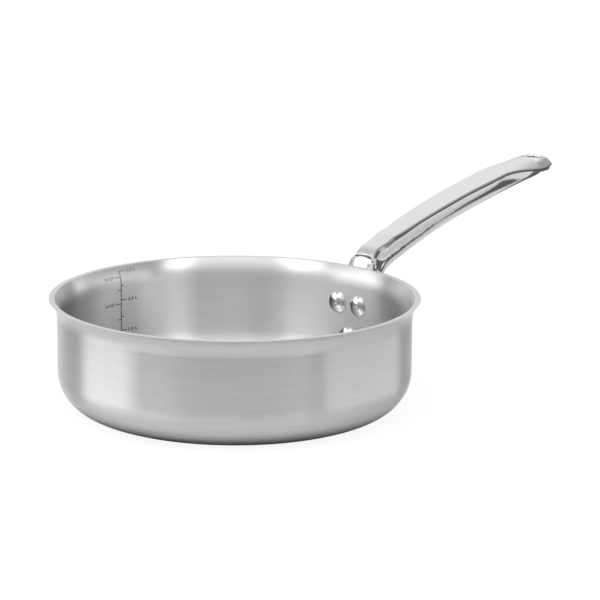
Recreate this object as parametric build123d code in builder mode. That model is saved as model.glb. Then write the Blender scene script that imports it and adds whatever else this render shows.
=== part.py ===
from build123d import *
from math import asin, cos, degrees, hypot, radians, sin
import os

# A saucier pan in millimetres. The origin is the centre of the base's underside, +Z is up and
# the handle runs along +X. The vessel is a bonded sheet of three layers, pressed to shape; a cast
# handle is held on it by three rivets. Nothing moves.

# Vessel, measured on its outer surface
body_radius = 119.5
pan_height = 76.1
corner_radius = 26.5
flare_radius = 17.0
flare_height = 12.5
skin_thickness = 0.5
core_thickness = 1.7
lining_thickness = 0.5

# Rivets: two level with each other, rivet_drop above the lower one
rivet_spacing = 18.4
lower_rivet_height = 25.7
rivet_drop = 24.4
shank_radius = 3.0
rivet_head_radius = 7.3
rivet_head_height = 3.3
rivet_head_land = 0.7
rivet_tail_radius = 4.6
rivet_tail_height = 1.6
rivet_tail_crown = 2.4

# Handle: the pad on the wall
pad_thickness = 4.0
pad_margin = 10.0
pad_edge_round = 1.0

# Handle: its crest, the middle line of the top face, seen from the side as four tangent arcs. It
# starts root_rise above the upper rivets' centres, and the keel line starts root_depth below it
crest_start_inset = 0.5
root_rise = 8.3
root_depth = 5.8
root_rise_angle = 43.1
root_arc_radius = 44.5
stem_angle = 72.7
neck_arc_radius = 16.5
back_start_angle = 18.6
back_arc_radius = 850.0
nose_start_angle = 5.5
nose_arc_radius = 10.5
nose_end_angle = -68.0

# Handle: its keel line, the middle line of the underside, seen from the side as four tangent arcs
keel_start_reach = 2.8
keel_start_angle = 4.0
armpit_arc_radius = 42.0
armpit_angle = 47.0
throat_arc_radius = 22.0
belly_start_angle = 21.5
belly_arc_radius = 572.0
belly_middle_angle = 12.4
fore_arc_radius = 1275.0
belly_end_angle = 8.0

# Handle: widths of the top face and of the keel
root_width = 27.0
neck_width = 16.0
grip_width = 24.0
paddle_width = 35.0
tip_width = 14.0
keel_root_width = 17.0
keel_neck_width = 13.6
keel_grip_width = 18.0
keel_tip_width = 12.5
tip_crown = 4.6
grip_crown = 0.12

# Handle: the edge of the top face and the hollow of the side flutes
edge_bevel = 0.8
root_land = 1.6
neck_land = 3.0
grip_land = 1.4
flute_hollow = 0.5
hang_hole_radius = 6.2
hang_hole_round = 1.0

# Fits
seat_clearance = 0.05
shank_clearance = 0.05

# Stations: where each cross-section of the handle meets the crest and the keel line, as shares of
# their lengths, and how far the sizes have gone from those at one end of the stretch to the other
stem_place_shares = ((0.0, 0.0), (0.02, 0.03), (0.04, 0.06), (0.06, 0.085), (0.08, 0.11), (0.095, 0.128),
                     (0.112, 0.143), (0.13, 0.152), (0.15, 0.16))
stem_width_shares = (0.0, 0.06, 0.12, 0.18, 0.24, 0.38, 0.72, 0.96, 1.0)
grip_place_shares = ((0.17, 0.17), (0.2, 0.196), (0.25, 0.245), (0.32, 0.318), (0.4, 0.4), (0.5, 0.5),
                     (0.6, 0.604), (0.7, 0.708), (0.76, 0.769))
grip_width_shares = (0.05, 0.12, 0.22, 0.41, 0.56, 0.72, 0.84, 0.93, 1.0)
grip_land_shares = (0.0, 0.05, 0.4, 0.95, 1.0, 1.0, 1.0, 1.0, 1.0)
paddle_place_shares = ((0.8, 0.81), (0.84, 0.851), (0.88, 0.89), (0.905, 0.915))
paddle_width_shares = (0.18, 0.52, 0.93, 1.0)
paddle_crown_shares = (0.25, 0.6, 0.9, 1.0)
nose_place_shares = ((0.93, 0.938), (0.953, 0.963), (0.968, 0.978), (0.981, 0.988), (0.991, 0.995),
                     (1.0, 1.0))
nose_width_shares = (0.88, 0.67, 0.49, 0.3, 0.15, 0.0)
nose_crown_shares = (1.0, 0.93, 0.83, 0.76, 0.72, 0.68)
crease_depth_share = 0.52
hang_hole_share = 0.938

wall_thickness = skin_thickness + core_thickness + lining_thickness
flare_start = pan_height - flare_height
inner_radius = body_radius - wall_thickness
pad_outer_depth = -(seat_clearance + pad_thickness)
rivet_height = lower_rivet_height + rivet_drop
crest_start_height = rivet_height + root_rise
keel_start_height = crest_start_height - root_depth


def between(low, high, share):
    """The size that lies the given share of the way from low to high."""
    return low + (high - low) * share


def wall_curve(depth):
    """Draws the vessel's side line, parallel to its outer surface and the given depth inside it."""
    corner = (body_radius - corner_radius, corner_radius)
    flare = (body_radius + flare_radius, flare_start)
    flare_turn = degrees(asin(flare_height / (flare_radius + depth)))
    floor_line = Line((0, depth), (corner[0], depth))
    CenterArc(corner, corner_radius - depth, -90, 90)
    Line((body_radius - depth, corner_radius), (body_radius - depth, flare_start))
    lip_arc = CenterArc(flare, flare_radius + depth, 180, -flare_turn)
    return floor_line @ 0, lip_arc @ 1


def sheet_outline(outer_depth, inner_depth):
    """Draws the closed outline of one layer of the sheet, cut level at the rim."""
    outer_axis, outer_lip = wall_curve(outer_depth)
    inner_axis, inner_lip = wall_curve(inner_depth)
    Line(outer_axis, inner_axis)
    Line(outer_lip, inner_lip)


def vessel_volume(depth):
    """Everything enclosed by the surface that lies the given depth inside the vessel's outside."""
    with BuildPart() as volume:
        with BuildSketch(Plane.XZ):
            with BuildLine():
                axis_point, lip_point = wall_curve(depth)
                Polyline(axis_point, (0, pan_height), lip_point)
            make_face()
        revolve(axis=Axis.Z)
    return volume.part


# The three rivets stand square to the wall: two level with each other and one midway below
rivet_turn = degrees(asin(rivet_spacing / 2 / inner_radius))
rivet_places = {
    "rivet_left": (rivet_turn, rivet_height),
    "rivet_right": (-rivet_turn, rivet_height),
    "rivet_lower": (0, lower_rivet_height),
}


def rivet_plane(turn, height):
    """A plane through a rivet's axis: X points out of the pan along the rivet, Y points up."""
    out = Vector(cos(radians(turn)), sin(radians(turn)), 0)
    side = Vector(sin(radians(turn)), -cos(radians(turn)), 0)
    return Plane(origin=(0, 0, height), x_dir=out, z_dir=side)


def rivet_axis(turn, height):
    """The line that a rivet and its hole are turned about."""
    return Axis((0, 0, height), (cos(radians(turn)), sin(radians(turn)), 0))


def round_bar(turn, height, radius):
    """A round bar on a rivet's axis, from inside its head to inside its tail."""
    start = inner_radius - rivet_head_land
    length = rivet_head_land + wall_thickness + seat_clearance + pad_thickness + rivet_tail_height / 2
    with BuildPart() as bar:
        with BuildSketch(rivet_plane(turn, height)):
            with Locations((start + length / 2, radius / 2)):
                Rectangle(length, radius)
        revolve(axis=rivet_axis(turn, height))
    return bar.part


# The holes that the shanks pass through
shank_holes = []
for turn, height in rivet_places.values():
    shank_holes.append(round_bar(turn, height, shank_radius + shank_clearance))

os.makedirs("parts", exist_ok=True)

# The sheet's three layers, bonded face to face
with BuildPart() as outer_steel_skin:
    with BuildSketch(Plane.XZ):
        with BuildLine():
            sheet_outline(0, skin_thickness)
        make_face()
    revolve(axis=Axis.Z)
    add(shank_holes, mode=Mode.SUBTRACT)
outer_steel_skin.part.label = "outer_steel_skin"
export_step(outer_steel_skin.part, "parts/outer_steel_skin.step")

with BuildPart() as aluminium_core:
    with BuildSketch(Plane.XZ):
        with BuildLine():
            sheet_outline(skin_thickness, skin_thickness + core_thickness)
        make_face()
    revolve(axis=Axis.Z)
    add(shank_holes, mode=Mode.SUBTRACT)
aluminium_core.part.label = "aluminium_core"
export_step(aluminium_core.part, "parts/aluminium_core.step")

with BuildPart() as inner_steel_lining:
    with BuildSketch(Plane.XZ):
        with BuildLine():
            sheet_outline(skin_thickness + core_thickness, wall_thickness)
        make_face()
    revolve(axis=Axis.Z)
    add(shank_holes, mode=Mode.SUBTRACT)
inner_steel_lining.part.label = "inner_steel_lining"
export_step(inner_steel_lining.part, "parts/inner_steel_lining.step")


# What the rivets clamp: everything from the cooking surface to the outer face of the pad
clamp_outside = vessel_volume(pad_outer_depth - seat_clearance)
clamp_inside = vessel_volume(wall_thickness + seat_clearance)
with BuildPart() as clamped_stack:
    add(clamp_outside)
    add(clamp_inside, mode=Mode.SUBTRACT)


# The crest and the keel line of the handle, seen from the side
with BuildLine(Plane.XZ) as crest:
    crest_start = (body_radius - crest_start_inset, crest_start_height)
    crest_rise = (cos(radians(root_rise_angle)), sin(radians(root_rise_angle)))
    root_arc = JernArc(crest_start, crest_rise, root_arc_radius, stem_angle - root_rise_angle)
    neck_arc = JernArc(root_arc @ 1, root_arc % 1, neck_arc_radius, back_start_angle - stem_angle)
    back_arc = JernArc(neck_arc @ 1, neck_arc % 1, back_arc_radius, nose_start_angle - back_start_angle)
    JernArc(back_arc @ 1, back_arc % 1, nose_arc_radius, nose_end_angle - nose_start_angle)

with BuildLine(Plane.XZ) as keel_line:
    keel_start = (body_radius + keel_start_reach, keel_start_height)
    keel_rise = (cos(radians(keel_start_angle)), sin(radians(keel_start_angle)))
    armpit_arc = JernArc(keel_start, keel_rise, armpit_arc_radius, armpit_angle - keel_start_angle)
    throat_turn = belly_start_angle - armpit_angle
    throat_arc = JernArc(armpit_arc @ 1, armpit_arc % 1, throat_arc_radius, throat_turn)
    belly_turn = belly_middle_angle - belly_start_angle
    belly_arc = JernArc(throat_arc @ 1, throat_arc % 1, belly_arc_radius, belly_turn)
    JernArc(belly_arc @ 1, belly_arc % 1, fore_arc_radius, belly_end_angle - belly_middle_angle)

crest_wire = crest.wire()
keel_wire = keel_line.wire()


def cross_section(place, width, crown, land, keel):
    """One cross-section of the handle: crowned top, bevel, land, hollow flute and round keel."""
    top = crest_wire.position_at(place[0])
    bottom = keel_wire.position_at(place[1])
    depth = (bottom - top).length
    plane = Plane(origin=top, x_dir=(0, 1, 0), z_dir=(top - bottom).cross(Vector(0, -1, 0)))
    half = width / 2
    edge = crown + edge_bevel + land
    crease = edge + (depth - edge) * crease_depth_share
    chord = (keel / 2 - half, edge - crease)
    chord_length = hypot(chord[0], chord[1])
    hollow = (half + chord[0] / 2 + flute_hollow * chord[1] / chord_length,
              -edge + chord[1] / 2 - flute_hollow * chord[0] / chord_length)
    with BuildSketch(plane) as outline:
        with BuildLine():
            ThreePointArc((-(half - edge_bevel), -crown), (0, 0), (half - edge_bevel, -crown))
            for side in (1, -1):
                top_edge = (side * (half - edge_bevel), -crown)
                land_top = (side * half, -crown - edge_bevel)
                land_foot = (side * half, -edge)
                Line(top_edge, land_top)
                Line(land_top, land_foot)
                ThreePointArc(land_foot, (side * hollow[0], hollow[1]), (side * keel / 2, -crease))
            ThreePointArc((keel / 2, -crease), (0, -depth), (-keel / 2, -crease))
        make_face()
    return outline.sketch


handle_sections = []
# Stem, from inside the pad up and round the neck over the rim
for place, wide in zip(stem_place_shares, stem_width_shares):
    width = between(root_width, neck_width, wide)
    land = between(root_land, neck_land, wide)
    keel = between(keel_root_width, keel_neck_width, wide)
    handle_sections.append(cross_section(place, width, grip_crown, land, keel))
# Grip
for place, wide, low in zip(grip_place_shares, grip_width_shares, grip_land_shares):
    width = between(neck_width, grip_width, wide)
    land = between(neck_land, grip_land, low)
    keel = between(keel_neck_width, keel_grip_width, wide)
    handle_sections.append(cross_section(place, width, grip_crown, land, keel))
# Paddle
for place, wide, crown in zip(paddle_place_shares, paddle_width_shares, paddle_crown_shares):
    width = between(grip_width, paddle_width, wide)
    handle_sections.append(cross_section(place, width, tip_crown * crown, grip_land, keel_grip_width))
# Nose
for place, wide, crown in zip(nose_place_shares, nose_width_shares, nose_crown_shares):
    width = between(tip_width, paddle_width, wide)
    keel = between(keel_tip_width, keel_grip_width, wide)
    handle_sections.append(cross_section(place, width, tip_crown * crown, grip_land * crown, keel))

# The pad: a rounded triangle round the three rivets, lying on the outside of the wall
pad_outside = vessel_volume(pad_outer_depth)
with BuildPart() as pad:
    with BuildSketch(Plane.YZ):
        for turn, height in rivet_places.values():
            with Locations((body_radius * sin(radians(turn)), height)):
                Circle(pad_margin)
        make_hull()
    extrude(amount=body_radius + flare_radius)
    add(pad_outside, mode=Mode.INTERSECT)
    outer_edges = pad.edges().filter_by(lambda edge: edge.center().X > inner_radius)
    fillet(outer_edges.filter_by(lambda edge: edge.center().Z != corner_radius), pad_edge_round)

# The handle: stem, grip and pad in one casting, clear of the vessel's outside
vessel_clear = vessel_volume(-seat_clearance)
hole_centre = crest_wire.position_at(hang_hole_share)
hole_side = Vector(0, 1, 0)
hole_rise = hole_side.cross(crest_wire.tangent_at(hang_hole_share))
hole_plane = Plane(origin=hole_centre, x_dir=hole_side, z_dir=hole_rise)
with BuildPart() as handle:
    loft(handle_sections)
    add(pad.part)
    add(vessel_clear, mode=Mode.SUBTRACT)
    add(shank_holes, mode=Mode.SUBTRACT)
    with BuildSketch(hole_plane):
        Circle(hang_hole_radius)
    extrude(amount=paddle_width, both=True, mode=Mode.SUBTRACT)
    hole_face = handle.faces().filter_by(GeomType.CYLINDER).sort_by(Axis.X)[-1]
    fillet(hole_face.edges().filter_by(GeomType.LINE, reverse=True), hang_hole_round)
handle.part.label = "handle"
export_step(handle.part, "parts/handle.step")

# Rivets: a domed head inside the pan, a shank through the wall and the pad, and a closed tail
head_top = inner_radius - rivet_head_height
head_edge = inner_radius - rivet_head_land
dome_height = head_edge - head_top
dome_radius = (rivet_head_radius ** 2 + dome_height ** 2) / (dome_height + dome_height)
tail_edge = body_radius - pad_outer_depth
tail_top = tail_edge + rivet_tail_height
for name, (turn, height) in rivet_places.items():
    shank = round_bar(turn, height, shank_radius)
    with BuildPart() as rivet:
        with BuildSketch(rivet_plane(turn, height)):
            with BuildLine():
                Polyline((head_top, 0), (tail_top, 0), (tail_top, rivet_tail_crown),
                         (tail_edge, rivet_tail_radius), (body_radius, rivet_tail_radius),
                         (body_radius, rivet_head_radius), (head_edge, rivet_head_radius))
                RadiusArc((head_edge, rivet_head_radius), (head_top, 0), -dome_radius)
            make_face()
        revolve(axis=rivet_axis(turn, height))
        add(clamped_stack.part, mode=Mode.SUBTRACT)
        add(shank)
    rivet.part.label = name
    export_step(rivet.part, f"parts/{name}.step")
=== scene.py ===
import logging
import math
from dataclasses import dataclass
from enum import Enum
from typing import Any

import bmesh
import bpy
import numpy as np
from mathutils import Matrix, Vector


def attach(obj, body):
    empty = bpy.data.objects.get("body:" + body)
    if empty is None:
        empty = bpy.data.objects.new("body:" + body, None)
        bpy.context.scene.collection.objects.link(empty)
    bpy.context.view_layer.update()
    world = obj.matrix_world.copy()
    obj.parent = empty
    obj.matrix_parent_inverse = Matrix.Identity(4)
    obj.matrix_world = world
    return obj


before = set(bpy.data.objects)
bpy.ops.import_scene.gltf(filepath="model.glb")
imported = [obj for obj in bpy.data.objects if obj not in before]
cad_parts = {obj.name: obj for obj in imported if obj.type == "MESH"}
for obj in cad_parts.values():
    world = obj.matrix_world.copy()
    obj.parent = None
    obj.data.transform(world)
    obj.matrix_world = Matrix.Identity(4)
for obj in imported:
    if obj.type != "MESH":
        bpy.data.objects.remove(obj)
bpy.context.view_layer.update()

log = logging.getLogger("saucier_pan")

MM = 0.001
Colour = tuple[float, float, float]
Range = tuple[float, float]
Faces = list[tuple[int, ...]]
Shape = tuple[np.ndarray, Faces]
WHITE: Colour = (1.0, 1.0, 1.0)
# The Mix node's colour sockets go by number, because their names repeat for each data type.
MIX_LOW, MIX_HIGH, MIX_RESULT = 6, 7, 2


class Wire:
    """An output socket that takes part in plain Python sums."""

    def __init__(self, bench: "Bench", socket: bpy.types.NodeSocket | None) -> None:
        """Keeps the bench and the socket, which is None for a node that gives nothing out."""
        self.bench = bench
        self.socket = socket

    def reckon(self, operation: str, *terms: "Wire | float") -> "Wire":
        """Adds one Math node.

        Args:
            operation: the Math node's operation.
            terms: its values or links, in order.

        Returns:
            The node's result.
        """
        return self.bench.node("ShaderNodeMath", {"operation": operation}, dict(enumerate(terms)))

    def __add__(self, other: "Wire | float") -> "Wire":
        """self + other."""
        return self.reckon("ADD", self, other)

    def __radd__(self, other: float) -> "Wire":
        """other + self."""
        return self.reckon("ADD", other, self)

    def __sub__(self, other: "Wire | float") -> "Wire":
        """self - other."""
        return self.reckon("SUBTRACT", self, other)

    def __rsub__(self, other: float) -> "Wire":
        """other - self."""
        return self.reckon("SUBTRACT", other, self)

    def __mul__(self, other: "Wire | float") -> "Wire":
        """self * other."""
        return self.reckon("MULTIPLY", self, other)

    def __rmul__(self, other: float) -> "Wire":
        """other * self."""
        return self.reckon("MULTIPLY", other, self)

    def __truediv__(self, other: "Wire | float") -> "Wire":
        """self / other."""
        return self.reckon("DIVIDE", self, other)

    def __rtruediv__(self, other: float) -> "Wire":
        """other / self."""
        return self.reckon("DIVIDE", other, self)

    def __pow__(self, other: float) -> "Wire":
        """self to the power of other."""
        return self.reckon("POWER", self, other)

    def __abs__(self) -> "Wire":
        """The size of self without its sign."""
        return self.reckon("ABSOLUTE", self)

    def larger(self, other: "Wire | float") -> "Wire":
        """The larger of self and other."""
        return self.reckon("MAXIMUM", self, other)

    def smaller(self, other: "Wire | float") -> "Wire":
        """The smaller of self and other."""
        return self.reckon("MINIMUM", self, other)

    def rise(self, low: float, high: float) -> "Wire":
        """Adds a smooth step.

        Args:
            low: where it is 0.
            high: where it is 1, which may lie below low.

        Returns:
            The step's height at self, from 0 to 1.
        """
        if low > high:
            return 1 - self.rise(high, low)
        return self.bench.node("ShaderNodeMapRange", {"interpolation_type": "SMOOTHSTEP"},
                               {"Value": self, "From Min": low, "From Max": high})

    def swing(self, middle: float, spread: float) -> "Wire":
        """A value that self, from 0 to 1, swings about a middle by half the spread each way."""
        return middle + (self - 0.5) * spread

    def siblings(self, *outputs: int | str) -> tuple["Wire", ...]:
        """Outputs of the node that self comes from, by name or number."""
        return tuple(Wire(self.bench, self.socket.node.outputs[key]) for key in outputs)


class Bench:
    """Adds nodes to one node tree."""

    def __init__(self, tree: bpy.types.NodeTree) -> None:
        """Keeps the tree."""
        self.tree = tree

    def node(self, kind: str, settings: dict[str, Any] | None = None,
             inputs: dict[int | str, Any] | None = None, output: int | str = 0) -> Wire:
        """Adds one node.

        Args:
            kind: the node's type.
            settings: its own settings, set first.
            inputs: values or links for its sockets, by name or number.
            output: the socket that the answer comes from.

        Returns:
            That output socket, wrapped.
        """
        made = self.tree.nodes.new(kind)
        for name, value in (settings or {}).items():
            setattr(made, name, value)
        for key, value in (inputs or {}).items():
            if isinstance(value, Wire):
                self.tree.links.new(value.socket, made.inputs[key])
            else:
                made.inputs[key].default_value = value
        return Wire(self, made.outputs[output] if len(made.outputs) else None)

    def axes(self, vector: Wire) -> tuple[Wire, ...]:
        """The three numbers of a vector."""
        return self.node("ShaderNodeSeparateXYZ", None, {0: vector}).siblings(0, 1, 2)

    def vector(self, x: Wire | float, y: Wire | float, z: Wire | float) -> Wire:
        """A vector of three numbers."""
        return self.node("ShaderNodeCombineXYZ", None, {0: x, 1: y, 2: z})

    def place(self) -> tuple[Wire, ...]:
        """The point on the object, in metres, in the object's own axes."""
        return self.axes(self.node("ShaderNodeTexCoord", None, None, "Object"))

    def noise(self, vector: Wire, scale: float, detail: float = 2.0) -> Wire:
        """Smooth noise from 0 to 1, as one number."""
        return self.node("ShaderNodeTexNoise", None,
                         {"Vector": vector, "Scale": scale, "Detail": detail})

    def tint(self, share: Wire, low: Colour | Wire, high: Colour) -> Wire:
        """Adds a blend of two colours.

        Args:
            share: the share of the second, from 0 to 1.
            low: the first colour, plain or worked out.
            high: the second.

        Returns:
            The blended colour.
        """
        start = low if isinstance(low, Wire) else opaque(low)
        return self.node("ShaderNodeMix", {"data_type": "RGBA"},
                         {0: share, MIX_LOW: start, MIX_HIGH: opaque(high)}, MIX_RESULT)

    def bump(self, height: Wire, depth: float) -> Wire:
        """A normal bent by a height from 0 to 1 that stands for depth in metres."""
        return self.node("ShaderNodeBump", None,
                         {"Height": height, "Distance": depth, "Strength": 1.0})

    def mix(self, share: Wire, first: Wire, second: Wire) -> Wire:
        """A shader from the first to the second, by a share from 0 to 1."""
        return self.node("ShaderNodeMixShader", None, {0: share, 1: first, 2: second})

    def metal(self, colour: Wire, roughness: Wire, normal: Wire,
              constants: dict[str, float] | None = None) -> Wire:
        """Adds the surface of a bare metal.

        Args:
            colour: its colour.
            roughness: its roughness.
            normal: its bent normal.
            constants: plain values for the shader's other sockets, by name.

        Returns:
            The shader.
        """
        return self.node("ShaderNodeBsdfPrincipled", None, {
            "Base Color": colour, "Metallic": 1.0, "Roughness": roughness, "Normal": normal,
            **(constants or {})})


def opaque(colour: Colour) -> tuple[float, float, float, float]:
    """A colour with the full alpha that a socket wants."""
    return (*colour, 1.0)


def darkened(colour: Colour, share: float) -> Colour:
    """A colour with each part cut to a share."""
    return tuple(part * share for part in colour)


def from_axis(x: Wire, y: Wire) -> Wire:
    """The distance from the pan's axis, by the two places across it."""
    return (x * x + y * y) ** 0.5


def new_bench(name: str) -> tuple[bpy.types.Material, Bench]:
    """Makes an empty material.

    Args:
        name: the material's name.

    Returns:
        The material and a bench on its tree.
    """
    material = bpy.data.materials.new(name)
    material.use_nodes = True
    material.node_tree.nodes.clear()
    return material, Bench(material.node_tree)


def close_surface(shader: Wire) -> None:
    """Links a shader to its material's output."""
    shader.bench.node("ShaderNodeOutputMaterial", None, {"Surface": shader})


@dataclass(frozen=True)
class Rings:
    """Noise drawn out into rings round the pan.

    Attributes:
        density: patches in a metre across the rings.
        turns: how fast the noise changes round the pan, by the place that is handed to draw.
        detail: the noise's detail.
    """

    density: float
    turns: float
    detail: float

    def draw(self, across: Wire, round_x: Wire, round_y: Wire) -> Wire:
        """Adds the rings.

        Args:
            across: a length that grows across the rings.
            round_x: the x of the place round the pan.
            round_y: its y.

        Returns:
            The rings, as a number from 0 to 1.
        """
        bench = across.bench
        drawn = bench.vector(across * self.density, round_x * self.turns, round_y * self.turns)
        return bench.noise(drawn, 1.0, self.detail)


@dataclass(frozen=True)
class BrushedRound:
    """Steel brushed by a wheel while the pan spins: fine rings that spread light up and down."""

    name: str
    dark: Colour
    pale: Colour
    roughness: float = 0.28
    spread: float = 0.04
    anisotropy: float = 0.85
    quarter_turn: float = 0.25
    scratch_depth: float = 0.0009 * MM
    fine: Rings = Rings(2200.0, 3.0, 3.0)
    broad: Rings = Rings(420.0, 0.8, 2.0)
    fine_share: float = 0.65
    tone_range: Range = (0.3, 0.7)
    axis_guard: float = 0.1 * MM

    def make(self) -> bpy.types.Material:
        """Builds the material.

        The scratches are noise on the section's own length, which is nearly the height less the
        distance from the axis, drawn out round the pan. The guard keeps the turn finite on the
        axis.

        Returns:
            The material.
        """
        material, bench = new_bench(self.name)
        x, y, z = bench.place()
        distance = from_axis(x, y)
        along = z - distance
        turn_x = x / (distance + self.axis_guard)
        turn_y = y / (distance + self.axis_guard)
        fine = self.fine.draw(along, turn_x, turn_y)
        broad = self.broad.draw(along, turn_x, turn_y)
        streak = fine * self.fine_share + broad * (1 - self.fine_share)
        close_surface(bench.metal(
            bench.tint(streak.rise(*self.tone_range), self.dark, self.pale),
            streak.swing(self.roughness, self.spread),
            bench.bump(fine, self.scratch_depth),
            {"Anisotropic": self.anisotropy, "Anisotropic Rotation": self.quarter_turn}))
        return material


@dataclass(frozen=True)
class CutCore:
    """The cut edge of the soft core: dull, turned, a little darker where the tool dragged."""

    name: str
    dark: Colour = (0.52, 0.52, 0.53)
    pale: Colour = (0.68, 0.68, 0.69)
    roughness: float = 0.45
    spread: float = 0.12
    groove_depth: float = 0.005 * MM
    grooves: Rings = Rings(4000.0, 6.0, 2.0)

    def make(self) -> bpy.types.Material:
        """Builds the material: fine turned rings, as noise on the distance from the axis.

        Returns:
            The material.
        """
        material, bench = new_bench(self.name)
        x, y, _ = bench.place()
        grooves = self.grooves.draw(from_axis(x, y), x, y)
        close_surface(bench.metal(
            bench.tint(grooves, self.dark, self.pale),
            grooves.swing(self.roughness, self.spread),
            bench.bump(grooves, self.groove_depth)))
        return material


@dataclass(frozen=True)
class PolishedSteel:
    """Polished steel with the soft ripple that hand buffing leaves."""

    name: str
    colour: Colour = (0.66, 0.66, 0.67)
    smear_dark: float = 0.95
    roughness: float = 0.12
    spread: float = 0.06
    ripple_density: float = 160.0
    ripple_detail: float = 1.0
    ripple_depth: float = 0.02 * MM
    smear_density: float = 420.0
    smear_detail: float = 3.0

    def make(self) -> bpy.types.Material:
        """Builds the material: a slow ripple bends the surface, and faint smears vary its gloss.

        Returns:
            The material.
        """
        material, bench = new_bench(self.name)
        point = bench.vector(*bench.place())
        ripple = bench.noise(point, self.ripple_density, self.ripple_detail)
        smear = bench.noise(point, self.smear_density, self.smear_detail)
        close_surface(bench.metal(
            bench.tint(smear, darkened(self.colour, self.smear_dark), self.colour),
            smear.swing(self.roughness, self.spread),
            bench.bump(ripple, self.ripple_depth)))
        return material


@dataclass(frozen=True)
class FrontFold:
    """The fold where the handle's flat top ends above the stem, and the stem's rounded front.

    The edge is a shallow arch: its height falls from the middle by curve times the square of
    the distance across. Lengths are in metres.
    """

    edge: float = 83.6 * MM
    edge_soft: float = 0.1 * MM
    curve: float = 30.0
    lip: float = 1.9 * MM
    step: float = 1.45 * MM
    reach: float = 165.0 * MM
    reach_soft: float = 1.0 * MM
    facing: Range = (0.1, 0.2)
    half_width: float = 9.0 * MM
    crown: float = 1.3 * MM
    crown_power: float = 4.0

    def over(self, y: Wire, z: Wire) -> Wire:
        """The height over the arched edge."""
        return z + y * y * self.curve - self.edge

    def above(self, over: Wire) -> Wire:
        """1 above the edge and 0 below it."""
        return over.rise(-self.edge_soft, self.edge_soft)

    def relief(self, x: Wire, y: Wire, over: Wire, upward: Wire) -> Wire:
        """How far the surface stands out, by the light that it should send back.

        The lip climbs in a straight line to the edge, as the real step does, and the front
        falls back to both sides by a power of the distance across.

        Args:
            x: the place along the handle.
            y: the place across it.
            over: the height over the edge.
            upward: how far the surface faces up.

        Returns:
            The relief in metres, which is 0 away from the front of the stem.
        """
        front = upward.rise(*self.facing) * x.rise(self.reach, self.reach - self.reach_soft)
        lip = (over / self.lip + 1).larger(0.0).smaller(1.0)
        crown = (abs(y) / self.half_width) ** self.crown_power
        return (lip * self.step - crown * self.crown) * front


@dataclass(frozen=True)
class PaintedBoreHighlight:
    """A painted highlight in the hanging hole: its wall is painted brighter than the cast steel;
    lengths in metres.
    """

    centre_x: float = 330.18 * MM
    centre_z: float = 120.95 * MM
    lean: float = 0.0985
    radius: float = 6.5 * MM
    edge_soft: float = 0.1 * MM
    # The painted highlight's colour, brighter than the cast steel.
    colour: Colour = (0.93, 0.93, 0.93)

    def share(self, x: Wire, y: Wire, z: Wire) -> Wire:
        """1 inside the leaning bore, by the squared distance from its axis, and 0 round it."""
        off_x = x - self.centre_x + (z - self.centre_z) * self.lean
        return (off_x * off_x + y * y).rise((self.radius + self.edge_soft) ** 2, self.radius ** 2)


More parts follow.
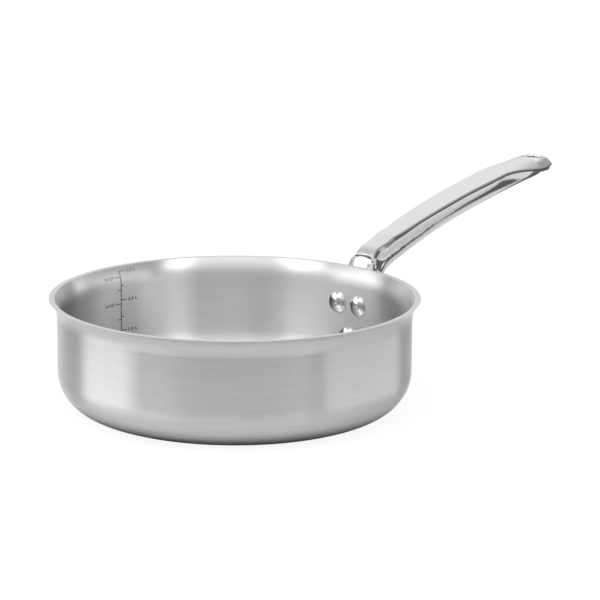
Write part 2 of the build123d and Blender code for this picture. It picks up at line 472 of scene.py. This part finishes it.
@dataclass(frozen=True)
class HandleSteel:
    """Cast steel: the flat top is satin from its front edge to a chevron, and the rest polished.

    Lengths are in metres, in the pan's axes: x along the handle, y across it and z up. A density
    is the noise's patches in a metre.
    """

    name: str
    satin: Colour = (0.70, 0.70, 0.71)
    grit_dark: float = 0.95
    grit_density: float = 3800.0
    grit_depth: float = 0.004 * MM
    satin_roughness: float = 0.42
    satin_spread: float = 0.1
    polish: Colour = (0.68, 0.68, 0.69)
    smear_dark: float = 0.94
    smear_density: float = 500.0
    smear_stretch: float = 0.35
    smear_detail: float = 3.0
    polish_roughness: float = 0.11
    polish_spread: float = 0.06
    ripple_density: float = 170.0
    ripple_depth: float = 0.024 * MM
    top_facing: Range = (0.45, 0.5)
    side_facing: Range = (0.58, 0.52)
    chevron: float = 323.0 * MM
    chevron_slope: float = 0.42
    chevron_soft: float = 0.5 * MM
    fold: FrontFold = FrontFold()
    # The painted highlight in the hanging hole.
    bore_highlight: PaintedBoreHighlight = PaintedBoreHighlight()

    def flat_top(self, x: Wire, y: Wire, sideways: Wire, upward: Wire) -> Wire:
        """Where the top's satin can be.

        Args:
            x: the place along the handle.
            y: the place across it.
            sideways: how far the surface faces across the handle.
            upward: how far it faces up.

        Returns:
            1 where the surface faces up more than sideways, before the chevron, and 0 elsewhere.
        """
        reach = x + abs(y) * self.chevron_slope
        before = reach.rise(self.chevron + self.chevron_soft, self.chevron - self.chevron_soft)
        return upward.rise(*self.top_facing) * abs(sideways).rise(*self.side_facing) * before

    def satin_shader(self, bench: Bench, point: Wire) -> Wire:
        """Adds the surface of the blasted top: a fine grit.

        Args:
            bench: the handle's bench.
            point: the place on the handle.

        Returns:
            The shader.
        """
        grit = bench.noise(point, self.grit_density)
        return bench.metal(bench.tint(grit, darkened(self.satin, self.grit_dark), self.satin),
                           grit.swing(self.satin_roughness, self.satin_spread),
                           bench.bump(grit, self.grit_depth))

    def make(self) -> bpy.types.Material:
        """Builds the material.

        The satin ends at the fold above the stem. On the polished rest, smears drawn out along
        the handle vary the gloss, and one bump carries the buffing's ripple and the fold's
        relief. The hanging hole's wall has a painted highlight: its colour is painted brighter.

        Returns:
            The material.
        """
        material, bench = new_bench(self.name)
        x, y, z = bench.place()
        point = bench.vector(x, y, z)
        _, sideways, upward = bench.axes(bench.node("ShaderNodeNewGeometry", None, None, "Normal"))
        over = self.fold.over(y, z)
        top = self.flat_top(x, y, sideways, upward) * self.fold.above(over)
        ripple = bench.noise(point, self.ripple_density)
        smear = bench.noise(bench.vector(x * self.smear_stretch, y, z), self.smear_density,
                            self.smear_detail)
        relief = ripple * self.ripple_depth + self.fold.relief(x, y, over, upward)
        buffed = bench.tint(smear, darkened(self.polish, self.smear_dark), self.polish)
        # The hanging hole's wall is tinted to the painted highlight colour.
        polish = bench.metal(bench.tint(self.bore_highlight.share(x, y, z), buffed, self.bore_highlight.colour),
                             smear.swing(self.polish_roughness, self.polish_spread),
                             bench.bump(relief / MM, MM))
        close_surface(bench.mix(top, polish, self.satin_shader(bench, point)))
        return material


@dataclass(frozen=True)
class Etching:
    """Steel darkened by an etching laser: a fine dull grain. Lengths are in metres."""

    name: str
    dark: Colour = (0.035, 0.035, 0.037)
    pale: Colour = (0.40, 0.40, 0.405)
    fade_start: float = 62.0 * MM
    fade_end: float = 74.0 * MM
    fade_share: float = 0.7
    speck_share: float = 0.2
    speck_density: float = 5200.0
    speck_depth: float = 0.003 * MM
    roughness: float = 0.42
    spread: float = 0.2
    metallic: float = 0.8

    def make(self) -> bpy.types.Material:
        """Builds the material: it pales up the flare, and specks vary its darkness and gloss.

        Returns:
            The material.
        """
        material, bench = new_bench(self.name)
        x, y, z = bench.place()
        speck = bench.noise(bench.vector(x, y, z), self.speck_density)
        fade = z.rise(self.fade_start, self.fade_end)
        faded = fade * self.fade_share + speck * self.speck_share
        close_surface(bench.metal(
            bench.tint(faded, self.dark, self.pale),
            speck.swing(self.roughness, self.spread),
            bench.bump(speck, self.speck_depth),
            {"Metallic": self.metallic}))
        return material


def dress(node: str, material: bpy.types.Material) -> None:
    """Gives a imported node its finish, in its own material slots.

    Args:
        node: the node's name.
        material: its finish.
    """
    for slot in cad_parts[node].material_slots:
        slot.material = material
    log.info("dressed %s in %s", node, material.name)


def top_of(node: str) -> float:
    """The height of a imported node's highest point, in metres."""
    return max(corner[2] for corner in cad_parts[node].bound_box)


@dataclass(frozen=True)
class CookingWall:
    """The side line of the wall's inner face over the bottom corner: straight up, then flaring."""

    radius: float = 116.8 * MM
    flare_start: float = 63.6 * MM
    flare_radius: float = 19.7 * MM

    def radius_at(self, height: np.ndarray) -> np.ndarray:
        """The wall's distance from the axis by height: a circle's arc in the flare."""
        above = np.clip(height - self.flare_start, 0.0, None)
        return self.radius + self.flare_radius - np.sqrt(self.flare_radius ** 2 - above ** 2)

    def wrap(self, flat: np.ndarray, turn: float) -> np.ndarray:
        """Lays flat points on the wall: across becomes an arc, and height stays.

        Args:
            flat: points as (across, height, thickness): across runs to the right for someone who
                looks at the wall from inside the pan, height is over the base, and thickness
                stands off the wall towards the axis.
            turn: the place round the pan, in radians, where across is zero.

        Returns:
            The points in the pan's own axes.
        """
        angle = turn - flat[:, 0] / self.radius
        radius = self.radius_at(flat[:, 1]) - flat[:, 2]
        return np.column_stack((radius * np.cos(angle), radius * np.sin(angle), flat[:, 1]))


class Side(Enum):
    """Which side of the common line a scale stands on, seen from inside the pan."""

    LEFT = -1
    RIGHT = 1


@dataclass(frozen=True)
class Scale:
    """One scale of volume marks beside the common line: whole marks have a label, half marks none.

    All lengths are in millimetres, and heights are over the base.
    """

    side: Side
    heights: tuple[float, ...]
    labels: tuple[str, ...]
    tick: float
    half_tick: float
    label_gap: float
    label_width: float

    def span(self, start: float, length: float) -> tuple[float, float]:
        """The left and right edge of what starts at a distance from the common line's middle."""
        ends = self.side.value * start, self.side.value * (start + length)
        return min(ends), max(ends)


@dataclass
class Graduations:
    """The litre and quart marks on the inside of the wall, all in one thin piece.

    All lengths are in millimetres, and turn is in degrees round the pan from the handle.
    """

    wall: CookingWall = CookingWall()
    turn: float = 86.3
    litres: Scale = Scale(
        Side.RIGHT, heights=(73.0, 63.1, 52.7, 40.8, 30.7),
        labels=("3.0 L", "", "2.0 L", "", "1.0 L"),
        tick=4.6, half_tick=2.2, label_gap=1.4, label_width=7.9)
    quarts: Scale = Scale(
        Side.LEFT, heights=(69.2, 59.8, 50.0, 38.7, 29.4),
        labels=("3.0 QT", "", "2.0 QT", "", "1.0 QT"),
        tick=4.8, half_tick=2.5, label_gap=1.0, label_width=9.2)
    line_width: float = 0.75
    tick_height: float = 0.6
    letter_height: float = 2.5
    letter_weight: float = 0.03
    letter_space: float = 1.12
    letter_steps: int = 4
    letter_merge: float = 1e-5
    thickness: float = 0.06
    row_height: float = 1.0

    def bar(self, left: float, right: float, low: float, high: float) -> Shape:
        """A thin closed bar: a box's four-cornered ring, repeated up it in rows.

        The rows are short enough to follow the wall's flare.

        Args:
            left: its left edge, across.
            right: its right edge.
            low: its lower edge, over the base.
            high: its upper edge.

        Returns:
            Its points and its faces.
        """
        across = (left, right, right, left)
        lift = (self.thickness, self.thickness, 0.0, 0.0)
        corners = len(across)
        rows = int(np.ceil((high - low) / self.row_height)) + 1
        points = np.column_stack((np.tile(across, rows),
                                  np.repeat(np.linspace(low, high, rows), corners),
                                  np.tile(lift, rows)))
        ring = np.arange(corners)
        first = corners * np.arange(rows - 1)[:, None]
        start = (first + ring).ravel()
        end = (first + (ring + 1) % corners).ravel()
        sides = np.column_stack((start, end, end + corners, start + corners))
        caps = [ring[::-1], ring + corners * (rows - 1)]
        return points, [tuple(face.tolist()) for face in (*caps, *sides)]

    def word(self, text: str, left: float, width: float, middle: float) -> Shape:
        """A label cut from a text object and stretched to its size.

        Args:
            text: the label.
            left: its left edge, across.
            width: its width.
            middle: the height of its middle over the base.

        Returns:
            Its points and its faces.
        """
        curve = bpy.data.curves.new("label", "FONT")
        curve.body = text
        curve.extrude = self.thickness / 2
        curve.offset = self.letter_weight
        curve.space_character = self.letter_space
        curve.resolution_u = self.letter_steps
        holder = bpy.data.objects.new("label", curve)
        mesh = bpy.data.meshes.new_from_object(holder)
        shape = bmesh.new()
        shape.from_mesh(mesh)
        bmesh.ops.remove_doubles(shape, verts=shape.verts, dist=self.letter_merge)
        shape.to_mesh(mesh)
        shape.free()
        points = np.empty(len(mesh.vertices) * 3)
        mesh.vertices.foreach_get("co", points)
        points = points.reshape(-1, 3)
        faces = [tuple(face.vertices) for face in mesh.polygons]
        bpy.data.objects.remove(holder)
        bpy.data.curves.remove(curve)
        bpy.data.meshes.remove(mesh)
        low, high = points.min(axis=0), points.max(axis=0)
        size = np.array((width, self.letter_height, self.thickness))
        corner = np.array((left, middle - self.letter_height / 2, 0.0))
        return (points - low) / (high - low) * size + corner, faces

    def marks(self, scale: Scale) -> list[Shape]:
        """Lays out one scale: a tick at each height, with a label beside each whole mark.

        Args:
            scale: the scale.

        Returns:
            Its ticks and labels, as flat shapes.
        """
        half_line = self.line_width / 2
        half_tick = self.tick_height / 2
        made = []
        for height, label in zip(scale.heights, scale.labels):
            length = scale.tick if label else scale.half_tick
            left, right = scale.span(half_line, length)
            made.append(self.bar(left, right, height - half_tick, height + half_tick))
            if label:
                start = half_line + length + scale.label_gap
                left, _ = scale.span(start, scale.label_width)
                made.append(self.word(label, left, scale.label_width, height))
        return made

    def shapes(self) -> list[Shape]:
        """Lays out the common line, from the lowest tick to the highest, and both scales.

        Returns:
            All of them, as flat shapes.
        """
        heights = self.litres.heights + self.quarts.heights
        line = self.bar(-self.line_width / 2, self.line_width / 2,
                        min(heights) - self.tick_height / 2, max(heights) + self.tick_height / 2)
        return [line, *self.marks(self.litres), *self.marks(self.quarts)]

    def build(self) -> None:
        """Makes the marks one mesh, wraps it on the wall and gives it its finish."""
        points, faces, count = [], [], 0
        for shape_points, shape_faces in self.shapes():
            points.append(shape_points)
            faces.extend(tuple(corner + count for corner in face) for face in shape_faces)
            count += len(shape_points)
        wrapped = self.wall.wrap(np.vstack(points) * MM, math.radians(self.turn))
        mesh = bpy.data.meshes.new("graduations")
        mesh.from_pydata(wrapped.tolist(), [], faces)
        piece = bpy.data.objects.new("graduations", mesh)
        bpy.context.scene.collection.objects.link(piece)
        mesh.materials.append(Etching("marks_etched").make())
        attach(piece, "root")
        log.info("graduations: %d faces", len(faces))


@dataclass
class Vessel:
    """The bonded three-layer vessel and the volume marks on its wall."""

    lining: BrushedRound = BrushedRound(
        "lining_brushed", dark=(0.63, 0.63, 0.635), pale=(0.68, 0.68, 0.685),
        roughness=0.32, anisotropy=0.95)
    core: CutCore = CutCore("core_cut")
    skin: BrushedRound = BrushedRound(
        "skin_brushed", dark=(0.54, 0.545, 0.55), pale=(0.59, 0.595, 0.60))

    def build(self) -> None:
        """Dresses the three layers and adds the marks."""
        dress("inner_steel_lining", self.lining.make())
        dress("aluminium_core", self.core.make())
        dress("outer_steel_skin", self.skin.make())
        Graduations().build()


@dataclass
class Fittings:
    """The cast handle and its three rivets."""

    cast: HandleSteel = HandleSteel("handle_cast")
    rivet: PolishedSteel = PolishedSteel("rivet_polished")

    def build(self) -> None:
        """Dresses the handle and the rivets."""
        dress("handle", self.cast.make())
        rivet = self.rivet.make()
        for node in ("rivet_left", "rivet_right", "rivet_lower"):
            dress(node, rivet)


@dataclass(frozen=True)
class SoftBox:
    """One soft patch of light on the room's wall.

    All values but its strength are in degrees. Turn goes round the pan from the handle, rise is
    over the horizon, and soft is the width of the patch's fading edge.
    """

    turn: float
    half_turn: float
    rise: float
    half_rise: float
    strength: float
    soft: float = 8.0

    def inside(self, away: Wire, half: float) -> Wire:
        """1 within half a width of the patch's middle, falling to 0 across the fading edge."""
        outer, inner = half + self.soft / 2, half - self.soft / 2
        return abs(away).rise(math.radians(outer), math.radians(inner))

    def glow(self, turn: Wire, rise: Wire) -> Wire:
        """The patch's light in a direction.

        Args:
            turn: the direction's turn, in radians.
            rise: its rise over the horizon, in radians.

        Returns:
            The strength inside the patch, falling softly to 0 round it.
        """
        away = turn.reckon("WRAP", turn - math.radians(self.turn), math.pi, -math.pi)
        lift = rise - math.radians(self.rise)
        return self.inside(away, self.half_turn) * self.inside(lift, self.half_rise) * self.strength


@dataclass(frozen=True)
class Room:
    """A plain grey room with soft boxes, which the camera itself sees white."""

    grey: float = 0.5
    boxes: tuple[SoftBox, ...] = (
        SoftBox(turn=131.0, half_turn=23.0, rise=14.0, half_rise=22.0, strength=1.7, soft=14.0),
        SoftBox(turn=168.0, half_turn=15.0, rise=46.0, half_rise=20.0, strength=3.4),
        SoftBox(turn=220.0, half_turn=36.0, rise=60.0, half_rise=14.0, strength=1.45),
        SoftBox(turn=220.0, half_turn=36.0, rise=32.0, half_rise=16.0, strength=0.5),
        SoftBox(turn=268.0, half_turn=10.0, rise=47.0, half_rise=20.0, strength=3.4),
        SoftBox(turn=318.0, half_turn=36.0, rise=5.0, half_rise=11.0, strength=1.5),
        SoftBox(turn=50.0, half_turn=27.0, rise=37.0, half_rise=26.0, strength=0.7, soft=12.0),
        SoftBox(turn=90.0, half_turn=10.0, rise=4.0, half_rise=11.0, strength=0.4),
    )

    def build(self) -> None:
        """Surrounds the pan with the room."""
        world = bpy.data.worlds.new("room")
        bpy.context.scene.world = world
        world.use_nodes = True
        world.node_tree.nodes.clear()
        bench = Bench(world.node_tree)
        x, y, z = bench.axes(bench.node("ShaderNodeTexCoord", None, None, "Generated"))
        turn = y.reckon("ARCTAN2", y, x)
        rise = z.reckon("ARCSINE", z)
        light = self.grey + sum(box.glow(turn, rise) for box in self.boxes)
        seen = bench.node("ShaderNodeLightPath", None, None, "Is Camera Ray")
        room, white = (bench.node("ShaderNodeBackground", None,
                                  {"Color": opaque(WHITE), "Strength": strength})
                       for strength in (light, 1.0))
        bench.node("ShaderNodeOutputWorld", None, {"Surface": bench.mix(seen, room, white)})
        log.info("room: %d soft boxes", len(self.boxes))


@dataclass(frozen=True)
class Table:
    """The plain pale table that the pan stands on. Lengths are in metres.

    The camera sees it white, with the pan's shadow. Mirrored rays see a sheen that grows where
    they graze it, a painted shadow right under the pan, and a painted dark reflection past its
    edge.
    """

    reach: float = 6.0
    drop: float = 0.4 * MM
    white: Colour = (0.85, 0.85, 0.85)
    # Painted shade for mirrored rays: a painted shadow under the pan and a painted dark reflection
    # beyond the edge.
    painted_shade: Colour = (0.12, 0.12, 0.12)
    edge_radius: float = 470.0 * MM
    # The radius of the painted shadow that mirrored rays see under the pan.
    painted_shadow_radius: float = 110.0 * MM
    edge_soft: float = 10.0 * MM
    gloss: float = 0.8
    gloss_roughness: float = 0.25
    facing_blend: float = 0.5
    grazing: Range = (0.4, 0.75)
    glow_share: float = 0.86
    glow_strength: float = 1.05

    def painted_shade_share(self, distance: Wire) -> Wire:
        """Where mirrored rays see the table painted dark: a painted shadow under the pan and a
        painted dark reflection beyond its edge.

        Args:
            distance: the distance from the pan's axis.

        Returns:
            1 right under the pan and beyond the table's edge, and 0 between, with soft edges.
        """
        beyond = distance.rise(self.edge_radius - self.edge_soft, self.edge_radius + self.edge_soft)
        under = distance.rise(self.painted_shadow_radius + self.edge_soft,
                              self.painted_shadow_radius - self.edge_soft)
        return beyond.larger(under)

    def make(self) -> bpy.types.Material:
        """Builds the table's material: cloth with painted shade for mirrored rays, sheen and the
        camera's white glow, mixed.

        Returns:
            The material.
        """
        material, bench = new_bench("floor_white")
        x, y, _ = bench.place()
        painted_dark = self.painted_shade_share(from_axis(x, y))
        path = bench.node("ShaderNodeLightPath")
        mirrored, seen = path.siblings("Is Glossy Ray", "Is Camera Ray")
        facing = bench.node("ShaderNodeLayerWeight", None, {"Blend": self.facing_blend}, "Facing")
        # Mirrored rays see the cloth painted dark under the pan and beyond the edge.
        cloth = bench.node("ShaderNodeBsdfDiffuse", None, {
            "Color": bench.tint(painted_dark * mirrored, self.white, self.painted_shade)})
        sheen = bench.node("ShaderNodeBsdfGlossy", None, {
            "Color": opaque(self.white), "Roughness": self.gloss_roughness})
        polish = mirrored * (1 - painted_dark) * facing.rise(*self.grazing) * self.gloss
        glow = bench.node("ShaderNodeEmission", None, {
            "Color": opaque(WHITE), "Strength": self.glow_strength})
        close_surface(bench.mix(seen * self.glow_share, bench.mix(polish, cloth, sheen), glow))
        return material

    def build(self) -> None:
        """Lays the table just under the pan."""
        mesh = bpy.data.meshes.new("floor")
        signs = ((-1, -1), (1, -1), (1, 1), (-1, 1))
        corners = [(x * self.reach, y * self.reach, -self.drop) for x, y in signs]
        mesh.from_pydata(corners, [], [tuple(range(len(corners)))])
        mesh.materials.append(self.make())
        floor = bpy.data.objects.new("floor", mesh)
        bpy.context.scene.collection.objects.link(floor)
        log.info("table: edge at %.2f m", self.edge_radius)


@dataclass(frozen=True)
class Camera:
    """The camera that took the photograph, fitted to the rim, the wall and the base.

    Turn, rise and roll are in degrees, the distance is in metres from the rim's centre, the
    sensor is in millimetres, and the focal length and the target are in the picture's pixels.
    """

    turn: float = 223.0
    rise: float = 13.40148
    roll: float = -0.12032
    distance: float = 1.8671
    view_reach: float = 50.0
    sensor: float = 36.0
    picture: float = 600.0
    focal_length: float = 2774.5
    target: tuple[float, float] = (235.09, 296.13)

    @staticmethod
    def turned(first: Vector, second: Vector, angle: float) -> tuple[Vector, Vector]:
        """Two square axes turned in their own plane, the second towards the first."""
        cos, sin = math.cos(angle), math.sin(angle)
        return first * cos - second * sin, second * cos + first * sin

    def build(self) -> None:
        """Places the camera: it looks at the rim's centre, then turns until that is on target."""
        turn, rise = math.radians(self.turn), math.radians(self.rise)
        seat = Vector((math.cos(turn) * math.cos(rise), math.sin(turn) * math.cos(rise),
                       math.sin(rise)))
        place = Vector((0.0, 0.0, top_of("outer_steel_skin"))) + seat * self.distance
        ahead = -seat
        right = ahead.cross(Vector((0.0, 0.0, 1.0))).normalized()
        up = right.cross(ahead)
        pan, tilt = (math.atan2(pixel - self.picture / 2, self.focal_length)
                     for pixel in self.target)
        ahead, right = self.turned(ahead, right, pan)
        ahead, up = self.turned(ahead, up, -tilt)
        right, up = self.turned(right, up, math.radians(self.roll))
        data = bpy.data.cameras.new("camera")
        data.sensor_width = self.sensor
        data.lens = self.focal_length * self.sensor / self.picture
        data.clip_end = self.view_reach
        camera = bpy.data.objects.new("camera", data)
        camera.matrix_world = (Matrix.Translation(place)
                               @ Matrix((right, up, -ahead)).transposed().to_4x4())
        bpy.context.scene.collection.objects.link(camera)
        bpy.context.scene.camera = camera
        log.info("camera: %.2f m from the rim's centre", self.distance)


def main() -> None:
    """Builds the studio and dresses the pan, piece by piece."""
    logging.basicConfig(level=logging.INFO, format="%(name)s: %(message)s")
    bpy.context.scene.view_settings.view_transform = "Standard"
    for part in (Table(), Room(), Camera(), Vessel(), Fittings()):
        part.build()


if __name__ == "__main__":
    main()
